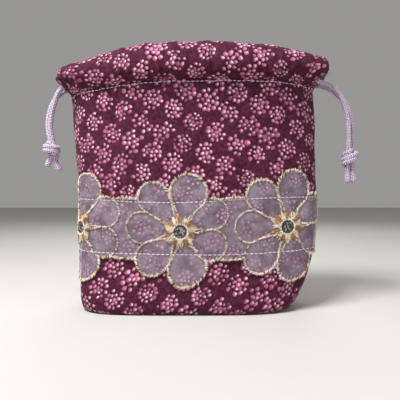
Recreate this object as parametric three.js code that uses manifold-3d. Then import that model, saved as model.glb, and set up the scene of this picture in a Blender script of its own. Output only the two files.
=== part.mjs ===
// A small kinchaku: a boxed-bottom drawstring pouch of printed cotton, with an organza
// flower lace sewn round it and two knotted drawstrings running through a cord casing.
// Millimetres, +Z up, -Y is the front. The origin is in the middle of the flat base.
import * as THREE from "three";
import { mergeVertices } from "three/addons/utils/BufferGeometryUtils.js";
import Module from "manifold-3d";

const wasm = await Module();
wasm.setup();

// ---- Driving dimensions -------------------------------------------------------------
const girth = 340; // cloth round the bag, two panels of 170
const clothThick = 1.2; // cotton with its turned-in seam allowance
const seamGap = 0.3; // between the two panels along the side and base seams
const seamHeight = 131; // casing seam at the front middle
const sideRound = { tuck: 3, rise: 3 }; // soft edge of the base at the two sides
const frontRound = { tuck: 6.5, rise: 9.5 }; // and at the front and back, where the cloth rolls under
const casingHeight = 20.8; // fold above the casing seam, at the middle
const casingDepth = 13; // the puffed casing, front to back, at the middle
const endNarrow = 0.36; // share of its depth that a casing loses at its ends
const endFlare = { left: 6.9, right: 8.1 }; // how far the ends stand out past the side seams
const endDroop = { left: 3.7, right: 5.6 }; // how much lower the ends are
const leftStep = 3; // a further drop close to the left end
const endSettle = 5.4; // the ends stand clear of the other casing
const cordRadius = 1.4;
const knotRadius = 5.6;
const knotHalf = 5.6; // half the height of a knot

// Side profile of the standing bag: height, left edge, right edge, squareness of the plan.
const profile = [
  { z: 0, left: -64.9, right: 56.6, square: 4 },
  { z: 6, left: -65.4, right: 60.9, square: 3.9 },
  { z: 14, left: -65.9, right: 64.9, square: 3.6 },
  { z: 20, left: -66.2, right: 67.9, square: 3.3 },
  { z: 27, left: -66.6, right: 70.6, square: 3.1 },
  { z: 35, left: -67.0, right: 72.2, square: 2.95 },
  { z: 44, left: -67.4, right: 73.2, square: 2.8 },
  { z: 64, left: -68.8, right: 74.6, square: 2.5 },
  { z: 92, left: -71.2, right: 75.2, square: 2.3 },
  { z: 114, left: -73.0, right: 75.4, square: 2.15 },
  { z: seamHeight, left: -73.5, right: 74.6, square: 2.05 },
];
const ringLevels = [0, 0.4, 1.2, 3, 6, 9.5, 15, 21, 27, 35, 46, 66, 92, 114, seamHeight];
const ringSides = 60;
const planPoints = 720; // the fine polygon that a plan is measured on

// Lace: pitch of the flowers, and the seven petals of one flower as circles, each at
// (across, up) from the flower's middle with its radius.
const laceOffset = 0.75; // clear of the cloth
const laceThick = 0.6;
const flowerHeight = 46; // of a flower's middle above the table, at the front middle
const laceSag = 3.2; // the lace hangs this much lower at the front and back than at the sides
const flowerPitch = 60.5;
const firstFlower = 50.7; // distance along the cloth from the front middle to a flower
const laceJoin = 84.5; // the lace's two ends meet at this side seam
const petals = [
  { across: -14.6, up: 18.4, radius: 8.9 },
  { across: 4.9, up: 21.6, radius: 10.3 },
  { across: 17.8, up: 9.7, radius: 8.7 },
  { across: 17.3, up: -7.6, radius: 8.7 },
  { across: 5.2, up: -20.0, radius: 10.5 },
  { across: -14.6, up: -15.1, radius: 9.7 },
  { across: -21.1, up: 1.6, radius: 8.9 },
];
const groundUp = 18; // the plain organza between two flowers
const groundDown = -16;

// Routes of the two drawstrings: from above the knot, in at one end of the front casing,
// over to the back casing at the far side seam, and back. Points chosen by hand, x, y, z.
const leftRoute = [
  [-86.9, -3.0, 100.4], [-87.0, -3.4, 107.4], [-86.2, -3.8, 115.0], [-84.4, -4.2, 121.8],
  [-81.8, -4.7, 128.6], [-77.3, -5.6, 132.9], [-74.7, -9.0, 133.9], [-72.1, -12.2, 134.1],
  [-68.6, -15.6, 134.6], [-59.0, -19.7, 135.8], [-43.4, -23.7, 136.9], [-28.6, -27.3, 138.1],
  [1.0, -30.6, 140.2], [30.8, -27.3, 141.4], [45.4, -23.7, 141.7], [60.0, -19.6, 141.6],
  [69.4, -17.0, 141.4], [75.2, -14.3, 141.1], [79.1, -11.0, 141.0], [80.9, -5.6, 140.9],
  [81.4, 0.0, 140.9], [80.9, 5.6, 140.9], [79.1, 11.0, 141.0], [75.2, 14.3, 141.1],
  [69.4, 17.0, 141.4], [60.0, 19.6, 141.6], [45.4, 23.7, 141.7], [30.8, 27.3, 141.4],
  [1.0, 30.6, 140.2], [-28.6, 27.3, 138.1], [-43.4, 23.7, 136.9], [-59.0, 19.7, 135.8],
  [-68.6, 15.6, 134.6], [-72.1, 12.2, 134.1], [-74.9, 9.0, 133.9], [-78.3, 5.2, 132.9],
  [-83.8, 2.8, 129.0], [-87.4, 1.2, 122.6], [-89.2, 0.2, 115.0], [-89.5, -0.1, 107.4],
  [-88.6, -0.4, 100.4],
];
const rightRoute = [
  [95.7, -3.0, 95.9], [95.6, -3.2, 103.4], [95.0, -3.6, 112.0], [92.8, -4.2, 120.6],
  [89.6, -4.5, 127.4], [84.6, -4.8, 132.2], [79.0, -5.0, 134.8], [74.6, -6.4, 136.0],
  [71.4, -10.6, 136.8], [68.0, -13.8, 137.0], [60.4, -18.6, 136.5], [45.4, -22.0, 137.4],
  [30.8, -24.4, 138.3], [1.0, -26.2, 140.2], [-28.6, -24.4, 141.4], [-43.4, -21.8, 141.6],
  [-58.4, -19.6, 140.8], [-67.8, -17.2, 138.4], [-73.2, -14.2, 137.5], [-77.1, -11.0, 137.4],
  [-78.7, -5.6, 137.3], [-79.2, 0.0, 137.3], [-78.7, 5.6, 137.3], [-77.1, 11.0, 137.4],
  [-73.2, 14.2, 137.5], [-67.8, 17.2, 138.4], [-58.4, 19.6, 140.8], [-43.4, 21.8, 141.6],
  [-28.6, 24.4, 141.4], [1.0, 26.2, 140.2], [30.8, 24.4, 138.3], [45.4, 22.0, 137.4],
  [60.4, 18.6, 136.5], [68.0, 13.8, 137.0], [71.4, 10.6, 136.8], [74.8, 6.6, 136.1],
  [80.0, 4.0, 135.1], [86.2, 2.4, 132.4], [91.8, 1.2, 127.4], [96.1, 0.4, 120.6],
  [98.0, -0.1, 112.0], [98.4, -0.4, 103.4], [97.8, -0.5, 95.9],
];
const leftKnot = [-86.6, -1.7, 94.5];
const rightKnot = [96.5, -1.7, 90.0];
const leftTails = [
  [[-87.2, -1.8, 91.3], [-88.2, -1.9, 87.6], [-89.2, -2.0, 84.2]],
  [[-85.3, -1.4, 91.3], [-84.2, -1.3, 86.2], [-82.0, -1.2, 81.8]],
];
const rightTails = [
  [[95.2, -1.6, 86.5], [95.3, -1.7, 80.0], [95.4, -1.8, 74.6]],
  [[98.0, -1.6, 86.5], [98.5, -1.5, 80.0], [99.3, -1.4, 74.8]],
];

// ---- Small helpers ------------------------------------------------------------------
const smooth = (x) => {
  const c = Math.min(1, Math.max(0, x));
  return c * c * (3 - 2 * c);
};

// A value of the side profile at any height, through its levels with eased slopes.
function profileAt(z, key) {
  let i = 0;
  while (i < profile.length - 2 && z > profile[i + 1].z) i++;
  const slope = (k) => {
    const before = profile[Math.max(0, k - 1)];
    const after = profile[Math.min(profile.length - 1, k + 1)];
    return (after[key] - before[key]) / (after.z - before.z);
  };
  const low = profile[i];
  const high = profile[i + 1];
  const span = high.z - low.z;
  const t = (z - low.z) / span;
  return (
    low[key] * (1 + 2 * t) * (1 - t) ** 2 + high[key] * t * t * (3 - 2 * t) +
    slope(i) * span * t * (1 - t) ** 2 - slope(i + 1) * span * t * t * (1 - t)
  );
}

// A superellipse as a closed polygon that starts at the front middle and runs to +X.
function plan(halfWide, halfDeep, square) {
  const points = [];
  for (let i = 0; i < planPoints; i++) {
    const a = -Math.PI / 2 + (i / planPoints) * 2 * Math.PI;
    const round = (v) => Math.sign(v) * Math.abs(v) ** (2 / square);
    points.push(new THREE.Vector2(halfWide * round(Math.cos(a)), halfDeep * round(Math.sin(a))));
  }
  return points;
}

const next = (points, i) => points[(i + 1) % points.length];

function lengthRound(points) {
  return points.reduce((sum, p, i) => sum + p.distanceTo(next(points, i)), 0);
}

// The half depth that uses up the whole girth of cloth, by halving.
function halfDepthFor(halfWide, square) {
  let low = 5;
  let high = 60;
  for (let i = 0; i < 30; i++) {
    const middle = (low + high) / 2;
    if (lengthRound(plan(halfWide, middle, square)) < girth) low = middle;
    else high = middle;
  }
  return low;
}

// How far the cloth has gone in under a soft edge at a height.
function tuckUnder(edge, z) {
  const below = Math.max(0, 1 - z / edge.rise);
  return edge.tuck * (1 - Math.sqrt(1 - below ** 2));
}

const levelPlans = new Map();

// The plan of the bag at one height: a polygon with its running length, and its middle.
function levelPlan(z) {
  const key = z.toFixed(3);
  if (levelPlans.has(key)) return levelPlans.get(key);
  const left = profileAt(z, "left");
  const right = profileAt(z, "right");
  const square = profileAt(z, "square");
  const halfWide = (right - left) / 2;
  const halfDeep = halfDepthFor(halfWide, square);
  const points = plan(halfWide - tuckUnder(sideRound, z), halfDeep - tuckUnder(frontRound, z), square);
  const lengths = [0];
  points.forEach((p, i) => lengths.push(lengths[i] + p.distanceTo(next(points, i))));
  const made = { points, lengths, centre: (left + right) / 2 };
  levelPlans.set(key, made);
  return made;
}

// The casing seam dips at both ends and stands a little higher on the right.
const seamRise = (x) => 2.2 * (x / 72) - 1.6 * (x / 72) ** 2;

// A point of the cloth's outer face: along the cloth from the front middle, at a level,
// moved out along the plan's own normal.
function clothPoint(along, level, out = 0) {
  const { points, lengths, centre } = levelPlan(level);
  const total = lengths[lengths.length - 1];
  const want = ((((along / girth) % 1) + 1) % 1) * total;
  let i = Math.min(points.length - 1, Math.floor((want / total) * points.length));
  while (lengths[i] > want) i--;
  while (lengths[i + 1] < want) i++;
  const a = points[i];
  const b = next(points, i);
  const t = (want - lengths[i]) / (lengths[i + 1] - lengths[i]);
  const x = a.x + (b.x - a.x) * t;
  const y = a.y + (b.y - a.y) * t;
  const edge = new THREE.Vector2(b.x - a.x, b.y - a.y).normalize();
  const rise = (level / seamHeight) * seamRise(x);
  return new THREE.Vector3(centre + x + edge.y * out, y - edge.x * out, level + rise);
}

// A closed loft through rings of points, each ring a closed loop of the same count.
function loft(rings) {
  const sides = rings[0].length;
  const vertices = rings.flat().flatMap((p) => [p.x, p.y, p.z]);
  const index = [];
  for (let r = 0; r < rings.length - 1; r++) {
    for (let i = 0; i < sides; i++) {
      const a = r * sides + i;
      const b = r * sides + ((i + 1) % sides);
      index.push(a, b, b + sides, a, b + sides, a + sides);
    }
  }
  for (const [ring, turned] of [[rings[0], true], [rings[rings.length - 1], false]]) {
    const middle = vertices.length / 3;
    const mean = ring.reduce((sum, p) => sum.add(p), new THREE.Vector3()).divideScalar(sides);
    vertices.push(mean.x, mean.y, mean.z);
    const first = turned ? 0 : (rings.length - 1) * sides;
    for (let i = 0; i < sides; i++) {
      const pair = [first + i, first + ((i + 1) % sides)];
      index.push(...(turned ? pair.reverse() : pair), middle);
    }
  }
  const geometry = new THREE.BufferGeometry();
  geometry.setAttribute("position", new THREE.Float32BufferAttribute(vertices, 3));
  geometry.setIndex(index);
  return geometry;
}

// three.js geometry to a manifold-3d solid and back.
function solid(geometry) {
  const bare = geometry.clone();
  bare.deleteAttribute("normal");
  bare.deleteAttribute("uv");
  const merged = mergeVertices(bare, 1e-3);
  const made = new wasm.Manifold(new wasm.Mesh({
    numProp: 3,
    vertProperties: merged.attributes.position.array,
    triVerts: new Uint32Array(merged.index.array),
  }));
  if (made.volume() > 0) return made;
  const turned = new Uint32Array(merged.index.array).reverse();
  return new wasm.Manifold(new wasm.Mesh({
    numProp: 3,
    vertProperties: merged.attributes.position.array,
    triVerts: turned,
  }));
}

function geometryOf(made) {
  const { vertProperties, triVerts } = made.getMesh();
  const geometry = new THREE.BufferGeometry();
  geometry.setAttribute("position", new THREE.Float32BufferAttribute(vertProperties, 3));
  geometry.setIndex([...triVerts]);
  geometry.computeVertexNormals();
  return geometry;
}

function block(x0, x1, y0, y1, z0, z1) {
  const box = new THREE.BoxGeometry(x1 - x0, y1 - y0, z1 - z0);
  return solid(box.translate((x0 + x1) / 2, (y0 + y1) / 2, (z0 + z1) / 2));
}

// ---- Cloth body ---------------------------------------------------------------------
function bodyRing(level, out) {
  const ring = [];
  for (let i = 0; i < ringSides; i++) ring.push(clothPoint((i / ringSides) * girth, level, out));
  return ring;
}

function bodyShell() {
  const outer = loft(ringLevels.map((level) => bodyRing(level, 0)));
  const inside = ringLevels.filter((level) => level > clothThick);
  const rings = inside.map((level) => bodyRing(level, -clothThick));
  rings.unshift(bodyRing(clothThick, -clothThick));
  const lid = rings[rings.length - 1].map((p) => p.clone().setZ(p.z + clothThick));
  return solid(outer).subtract(solid(loft([...rings, lid])));
}

// ---- Cord casings -------------------------------------------------------------------
// One section of a casing in (out, up): out from the seam, up from it, as shares of the
// casing's depth and height. It starts at the seam and goes up the outer face.
const casingSection = [
  [0.0, -0.07], [0.2, 0.06], [0.35, 0.24], [0.4, 0.48], [0.32, 0.74], [0.1, 0.94],
  [-0.12, 1.0], [-0.36, 0.92], [-0.54, 0.72], [-0.6, 0.48], [-0.5, 0.24], [-0.3, 0.08],
  [-0.1, -0.07],
];

// Height of a casing: it droops towards its ends, and drops once more close to the left one.
function casingRise(along) {
  const end = Math.abs(along) / (girth / 4);
  if (along > 0) return casingHeight - endDroop.right * end ** 2;
  return casingHeight - endDroop.left * end ** 2 - leftStep * smooth((end - 0.59) / 0.17);
}

// Station of a casing: along is -85 to 85, side is -1 for the front and 1 for the back. The
// hollow is the same section moved in by the cloth, and past carries it out through an end.
function casingRing(along, side, inward = 0, past = 0) {
  const foot = clothPoint(side < 0 ? along : girth / 2 - along, seamHeight);
  const flare = smooth((Math.abs(along) / (girth / 4) - 0.55) / 0.45);
  const height = casingRise(along);
  const depth = casingDepth * (1 - endNarrow * flare);
  const lean = Math.sign(along) * flare * (along < 0 ? endFlare.left : endFlare.right);
  return casingSection.map(([out, up]) => {
    const share = Math.min(1, Math.abs(out + 0.1) * 5);
    const thinner = inward * (out > -0.1 ? -1 : 1) * share;
    const lower = inward * (up > 0.5 ? (0.5 - up) * 2 : (0.5 - up) * 3);
    const stand = smooth(up / 0.6);
    return new THREE.Vector3(
      foot.x + lean * stand + Math.sign(along) * past,
      foot.y + side * (out * depth + thinner + flare * endSettle * stand),
      foot.z + up * height + lower,
    );
  });
}

const casingStations = 24;

function casing(side) {
  const stations = [];
  for (let i = 0; i <= casingStations; i++) {
    stations.push(((2 * i) / casingStations - 1) * (girth / 4 - 0.3));
  }
  const outer = solid(loft(stations.map((s) => casingRing(s, side))));
  const rings = stations.map((s) => casingRing(s, side, clothThick));
  rings.unshift(casingRing(stations[0], side, clothThick, 3));
  rings.push(casingRing(stations[casingStations], side, clothThick, 3));
  return outer.subtract(solid(loft(rings)));
}

// The slits at the sides, where a drawstring turns from one casing into the other.
const slitHalf = 10.8; // half the width of a slit, front to back

function sideSlits() {
  const left = block(-88, -63.6, -slitHalf, slitHalf, 129.8, 139.8);
  return left.add(block(65.6, 90, -slitHalf, slitHalf, 133.6, 144));
}

// ---- Lace ---------------------------------------------------------------------------
// Highest and lowest lace at a place along the cloth, measured from a flower's middle.
function laceEdge(along, sign) {
  let best = sign > 0 ? groundUp : -groundDown;
  const gap = Math.abs((((along - firstFlower) / flowerPitch + 1000) % 1) - 0.5);
  best -= 2.5 * smooth(gap * 2);
  for (let k = -6; k <= 1; k++) {
    for (const petal of petals) {
      const across = along - (firstFlower + k * flowerPitch + petal.across);
      if (Math.abs(across) < petal.radius) {
        best = Math.max(best, sign * petal.up + Math.sqrt(petal.radius ** 2 - across ** 2));
      }
    }
  }
  const rise = (laceSag * (1 - Math.cos((4 * Math.PI * along) / girth))) / 2;
  return flowerHeight + rise + sign * best;
}

function laceBand() {
  const columns = 124;
  const rows = 5;
  const start = laceJoin - girth + 0.6;
  const end = laceJoin - 0.6;
  const rings = [];
  for (let i = 0; i <= columns; i++) {
    const along = start + ((end - start) * i) / columns;
    const low = laceEdge(along, -1);
    const high = laceEdge(along, 1);
    const outer = [];
    const inner = [];
    for (let j = 0; j <= rows; j++) {
      const level = low + ((high - low) * j) / rows;
      outer.push(clothPoint(along, level, laceOffset + laceThick));
      inner.push(clothPoint(along, level, laceOffset));
    }
    rings.push([...outer, ...inner.reverse()]);
  }
  return solid(loft(rings));
}

// ---- Drawstrings --------------------------------------------------------------------
function cordTube(route, steps) {
  const section = new THREE.Shape();
  section.absarc(0, 0, cordRadius, 0, Math.PI * 2, false);
  const path = new THREE.CatmullRomCurve3(route.map((p) => new THREE.Vector3(...p)), false, "centripetal");
  return solid(new THREE.ExtrudeGeometry(section, {
    steps,
    bevelEnabled: false,
    curveSegments: 4,
    extrudePath: path,
  }));
}

// The knot's outer shape, with its two cut tails.
function knot(centre, tails) {
  const lump = new THREE.SphereGeometry(1, 12, 8).rotateX(Math.PI / 2);
  lump.scale(knotRadius, knotRadius, knotHalf).translate(...centre);
  return tails.reduce((all, tail) => all.add(cordTube(tail, 4)), solid(lump));
}

// ---- Assembly -----------------------------------------------------------------------
const cotton = new THREE.MeshStandardMaterial({ color: 0x5a2440, roughness: 0.85, metalness: 0 });
const organza = new THREE.MeshStandardMaterial({ color: 0x9c8aa0, roughness: 0.5, metalness: 0 });
const lilacCord = new THREE.MeshStandardMaterial({ color: 0xb497c4, roughness: 0.6, metalness: 0 });

const pouch = new THREE.Group();

function addPiece(name, made, material) {
  const mesh = new THREE.Mesh(geometryOf(made), material);
  mesh.name = name;
  pouch.add(mesh);
}

const cloth = bodyShell().add(casing(-1)).add(casing(1)).subtract(sideSlits());
addPiece("front_panel", cloth.intersect(block(-120, 120, -60, -seamGap / 2, -5, 170)), cotton);
addPiece("back_panel", cloth.intersect(block(-120, 120, seamGap / 2, 60, -5, 170)), cotton);
addPiece("lace_band", laceBand(), organza);
addPiece("left_drawstring", cordTube(leftRoute, 80), lilacCord);
addPiece("left_knot", knot(leftKnot, leftTails), lilacCord);
addPiece("right_drawstring", cordTube(rightRoute, 80), lilacCord);
addPiece("right_knot", knot(rightKnot, rightTails), lilacCord);

export default pouch;
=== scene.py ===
import math
import random

import bmesh
import bpy
import numpy as np
from mathutils import Matrix, Vector


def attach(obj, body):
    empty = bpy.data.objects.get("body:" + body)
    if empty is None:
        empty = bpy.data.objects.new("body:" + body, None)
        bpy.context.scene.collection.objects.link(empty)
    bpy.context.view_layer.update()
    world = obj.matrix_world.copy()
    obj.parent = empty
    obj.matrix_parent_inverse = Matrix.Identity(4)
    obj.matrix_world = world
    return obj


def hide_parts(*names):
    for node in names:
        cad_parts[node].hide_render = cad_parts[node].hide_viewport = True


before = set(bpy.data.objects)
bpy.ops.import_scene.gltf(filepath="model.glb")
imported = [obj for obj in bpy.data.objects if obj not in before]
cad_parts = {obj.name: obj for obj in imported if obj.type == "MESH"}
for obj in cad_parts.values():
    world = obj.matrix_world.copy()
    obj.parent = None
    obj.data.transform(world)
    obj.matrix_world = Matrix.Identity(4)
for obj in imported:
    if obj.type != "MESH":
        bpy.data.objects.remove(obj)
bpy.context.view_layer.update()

random.seed(11)
rng = np.random.default_rng(11)
mm = 0.001

print("camera")
view = {"place": (0.0030, -0.270, 0.0640), "lookDown": 0.002, "turn": -0.005, "lens": 39.2}
cameraData = bpy.data.cameras.new("camera")
cameraData.lens = view["lens"]
cameraData.clip_start = 0.01
camera = bpy.data.objects.new("camera", cameraData)
camera.location = view["place"]
camera.rotation_euler = (math.pi / 2 - view["lookDown"], 0, view["turn"])
bpy.context.collection.objects.link(camera)
bpy.context.scene.camera = camera
bpy.context.scene.view_settings.view_transform = "Standard"


# Shader maths: a wire is one socket, and sums of wires add their own Math nodes.
class Wire:
    def __init__(self, paint, socket):
        self.paint = paint
        self.socket = socket

    def sum(self, operation, first, second=None):
        return self.paint.node("ShaderNodeMath", {"operation": operation}, {0: first, 1: second})[0]

    def __add__(self, other):
        return self.sum("ADD", self, other)

    def __radd__(self, other):
        return self.sum("ADD", other, self)

    def __sub__(self, other):
        return self.sum("SUBTRACT", self, other)

    def __rsub__(self, other):
        return self.sum("SUBTRACT", other, self)

    def __mul__(self, other):
        return self.sum("MULTIPLY", self, other)

    def __rmul__(self, other):
        return self.sum("MULTIPLY", other, self)

    def __truediv__(self, other):
        return self.sum("DIVIDE", self, other)

    def __lt__(self, other):
        return self.sum("LESS_THAN", self, other)

    def __gt__(self, other):
        return self.sum("GREATER_THAN", self, other)

    def sine(self):
        return self.sum("SINE", self)

    def cosine(self):
        return self.sum("COSINE", self)

    def rounded(self):
        return self.sum("ROUND", self)

    def floor(self):
        return self.sum("FLOOR", self)

    def larger(self, other):
        return self.sum("MAXIMUM", self, other)

    def angle(self, other):
        return self.sum("ARCTAN2", self, other)


class Outputs:
    def __init__(self, paint, made):
        self.paint = paint
        self.made = made

    def __getitem__(self, key):
        return Wire(self.paint, self.made.outputs[key])


class Paint:
    def __init__(self, name):
        self.material = bpy.data.materials.new(name)
        self.material.use_nodes = True
        self.tree = self.material.node_tree
        self.shader = self.tree.nodes["Principled BSDF"]

    def node(self, kind, settings=None, inputs=None):
        made = self.tree.nodes.new(kind)
        for key, value in (settings or {}).items():
            setattr(made, key, value)
        for key, value in (inputs or {}).items():
            if isinstance(value, Wire):
                self.tree.links.new(value.socket, made.inputs[key])
            elif value is not None:
                made.inputs[key].default_value = value
        return Outputs(self, made)

    def mix(self, factor, first, second):
        colours = [(*c, 1) if isinstance(c, tuple) else c for c in (first, second)]
        sockets = {0: factor, 6: colours[0], 7: colours[1]}
        return self.node("ShaderNodeMix", {"data_type": "RGBA"}, sockets)[2]

    def vector(self, operation, *inputs):
        return self.node("ShaderNodeVectorMath", {"operation": operation}, dict(enumerate(inputs)))

    def split(self, vector):
        return self.node("ShaderNodeSeparateXYZ", None, {0: vector})

    def point(self, *parts):
        return self.node("ShaderNodeCombineXYZ", None, dict(enumerate(parts)))[0]

    def step(self, value, low, high):
        inputs = {"Value": value, "From Min": low, "From Max": high}
        return self.node("ShaderNodeMapRange", {"interpolation_type": "SMOOTHSTEP"}, inputs)[0]

    def noise(self, vector, scale, detail=3.0, roughness=0.55):
        inputs = {"Vector": vector, "Scale": scale, "Detail": detail, "Roughness": roughness}
        return self.node("ShaderNodeTexNoise", None, inputs)["Fac"]

    def uv(self):
        return self.node("ShaderNodeTexCoord")["UV"]

    def spot(self):
        return self.node("ShaderNodeTexCoord")["Object"]

    def bump(self, height, strength, distance, below=None):
        inputs = {"Height": height, "Strength": strength, "Distance": distance, "Normal": below}
        return self.node("ShaderNodeBump", None, inputs)["Normal"]

    def surface(self, wired, fixed):
        for key, value in wired.items():
            self.tree.links.new(value.socket, self.shader.inputs[key])
        for key, value in fixed.items():
            self.shader.inputs[key].default_value = value
        return self.material


def finishPiece(piece, material):
    piece.data.materials.append(material)
    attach(piece, "root")
    return piece


def meshFrom(name, mesh):
    made = bpy.data.meshes.new(name)
    mesh.to_mesh(made)
    mesh.free()
    return made


def objectFrom(name, mesh):
    piece = bpy.data.objects.new(name, mesh)
    bpy.context.collection.objects.link(piece)
    mesh.shade_smooth()
    return piece


print("cords")
cord = {"radius": 1.5 * mm, "sides": 20, "ribPitch": 1.9 * mm, "ribs": 4, "ribDepth": 0.06,
        "endRounding": 0.2, "endFlare": 0.25, "flareRun": 7 * mm, "hairs": 34, "hairLength": 2.4 * mm}
knot = {"turns": 1.35, "wide": 4.0, "foot": -3.3, "climb": 4.4, "tilt": 0.32, "strandGap": 2.4,
        "points": 14, "start": {"left": 0.15, "right": 0.85}}

leftRoute = [
    (-86.9, -3.0, 100.4), (-87.0, -3.4, 107.4), (-86.2, -3.8, 115.0), (-84.4, -4.2, 121.8),
    (-81.8, -4.7, 128.6), (-77.3, -5.6, 132.9), (-74.7, -9.0, 133.9), (-72.1, -12.2, 134.1),
    (-68.6, -15.6, 134.6), (-59.0, -19.7, 135.8), (-43.4, -23.7, 136.9), (-28.6, -27.3, 138.1),
    (1.0, -30.6, 140.2), (30.8, -27.3, 141.4), (45.4, -23.7, 141.7), (60.0, -19.6, 141.6),
    (69.4, -17.0, 141.4), (75.2, -14.3, 141.1), (79.1, -11.0, 141.0), (80.9, -5.6, 140.9),
    (81.4, 0.0, 140.9), (80.9, 5.6, 140.9), (79.1, 11.0, 141.0), (75.2, 14.3, 141.1),
    (69.4, 17.0, 141.4), (60.0, 19.6, 141.6), (45.4, 23.7, 141.7), (30.8, 27.3, 141.4),
    (1.0, 30.6, 140.2), (-28.6, 27.3, 138.1), (-43.4, 23.7, 136.9), (-59.0, 19.7, 135.8),
    (-68.6, 15.6, 134.6), (-72.1, 12.2, 134.1), (-74.9, 9.0, 133.9), (-78.3, 5.2, 132.9),
    (-83.8, 2.8, 129.0), (-87.4, 1.2, 122.6), (-89.2, 0.2, 115.0), (-89.5, -0.1, 107.4),
    (-88.6, -0.4, 100.4),
]
rightRoute = [
    (95.7, -3.0, 95.9), (95.6, -3.2, 103.4), (95.0, -3.6, 112.0), (92.8, -4.2, 120.6),
    (89.6, -4.5, 127.4), (84.6, -4.8, 132.2), (79.0, -5.0, 134.8), (74.6, -6.4, 136.0),
    (71.4, -10.6, 136.8), (68.0, -13.8, 137.0), (60.4, -18.6, 136.5), (45.4, -22.0, 137.4),
    (30.8, -24.4, 138.3), (1.0, -26.2, 140.2), (-28.6, -24.4, 141.4), (-43.4, -21.8, 141.6),
    (-58.4, -19.6, 140.8), (-67.8, -17.2, 138.4), (-73.2, -14.2, 137.5), (-77.1, -11.0, 137.4),
    (-78.7, -5.6, 137.3), (-79.2, 0.0, 137.3), (-78.7, 5.6, 137.3), (-77.1, 11.0, 137.4),
    (-73.2, 14.2, 137.5), (-67.8, 17.2, 138.4), (-58.4, 19.6, 140.8), (-43.4, 21.8, 141.6),
    (-28.6, 24.4, 141.4), (1.0, 26.2, 140.2), (30.8, 24.4, 138.3), (45.4, 22.0, 137.4),
    (60.4, 18.6, 136.5), (68.0, 13.8, 137.0), (71.4, 10.6, 136.8), (74.8, 6.6, 136.1),
    (80.0, 4.0, 135.1), (86.2, 2.4, 132.4), (91.8, 1.2, 127.4), (96.1, 0.4, 120.6),
    (98.0, -0.1, 112.0), (98.4, -0.4, 103.4), (97.8, -0.5, 95.9),
]
leftKnot = (-86.6, -1.7, 94.5)
rightKnot = (96.5, -1.7, 90.0)
leftTails = [
    [(-87.2, -1.8, 91.3), (-88.2, -1.9, 87.6), (-89.2, -2.0, 84.2)],
    [(-85.3, -1.4, 91.3), (-84.2, -1.3, 86.2), (-82.0, -1.2, 81.8)],
]
rightTails = [
    [(95.2, -1.6, 86.5), (95.3, -1.7, 80.0), (95.4, -1.8, 74.6)],
    [(98.0, -1.6, 86.5), (98.5, -1.5, 80.0), (99.3, -1.4, 74.8)],
]


# A smooth line through given points, in metres, at an even spacing.
def smoothLine(points, spacing=0.35 * mm):
    p = np.array(points, float)
    ends = [2 * p[0] - p[1], *p, 2 * p[-1] - p[-2]]
    fine = []
    for a, b, c, d in zip(ends, ends[1:], ends[2:], ends[3:]):
        knots = np.cumsum([0.0] + [max(1e-9, np.linalg.norm(v)) ** 0.5 for v in (b - a, c - b, d - c)])
        for t in np.linspace(knots[1], knots[2], 16, endpoint=False):
            ab = ((knots[1] - t) * a + t * b) / knots[1]
            bc = ((knots[2] - t) * b + (t - knots[1]) * c) / (knots[2] - knots[1])
            cd = ((knots[3] - t) * c + (t - knots[2]) * d) / (knots[3] - knots[2])
            abc = ((knots[2] - t) * ab + t * bc) / knots[2]
            bcd = ((knots[3] - t) * bc + (t - knots[1]) * cd) / (knots[3] - knots[1])
            fine.append(((knots[2] - t) * abc + (t - knots[1]) * bcd) / (knots[2] - knots[1]))
    fine = np.array([*fine, p[-1]])
    run = np.concatenate([[0], np.cumsum(np.linalg.norm(np.diff(fine, axis=0), axis=1))])
    even = np.linspace(0, run[-1], max(2, int(run[-1] / spacing) + 1))
    return np.stack([np.interp(even, run, fine[:, k]) for k in range(3)], axis=1)


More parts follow.
